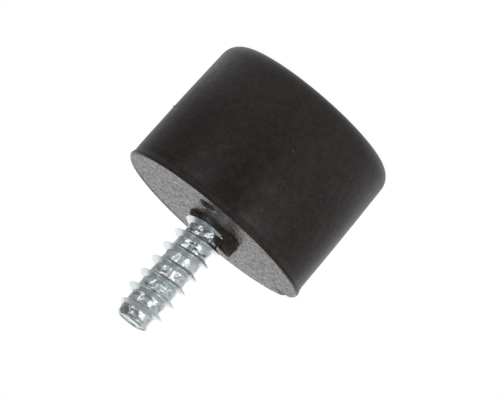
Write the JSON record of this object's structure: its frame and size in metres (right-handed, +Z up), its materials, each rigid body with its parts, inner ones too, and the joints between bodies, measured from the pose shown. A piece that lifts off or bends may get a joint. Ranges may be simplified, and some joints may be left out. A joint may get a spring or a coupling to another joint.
{
  "type": "rubber foot",
  "caption": "Screw-in equipment foot: a slightly tapered rubber drum moulded round the head of a blunt-ended tapping screw.",
  "frame": {"origin": "centre of the sole, on the surface that the foot stands on", "axes": "+Z up the axis of the screw, towards its tip; X and Y lie in the sole and are alike, but the high part of the flash collar and a thread crest stand on the -X side"},
  "size_m": [0.0176, 0.0176, 0.0227],
  "materials": {
    "rubber": "smooth moulded rubber, dusty on the seating face",
    "zinc_plate": "bright zinc plate on rolled steel"
  },
  "bodies": {
    "root": {"rubber_body": "rubber", "screw": "zinc_plate"}
  },
  "joints": []
}
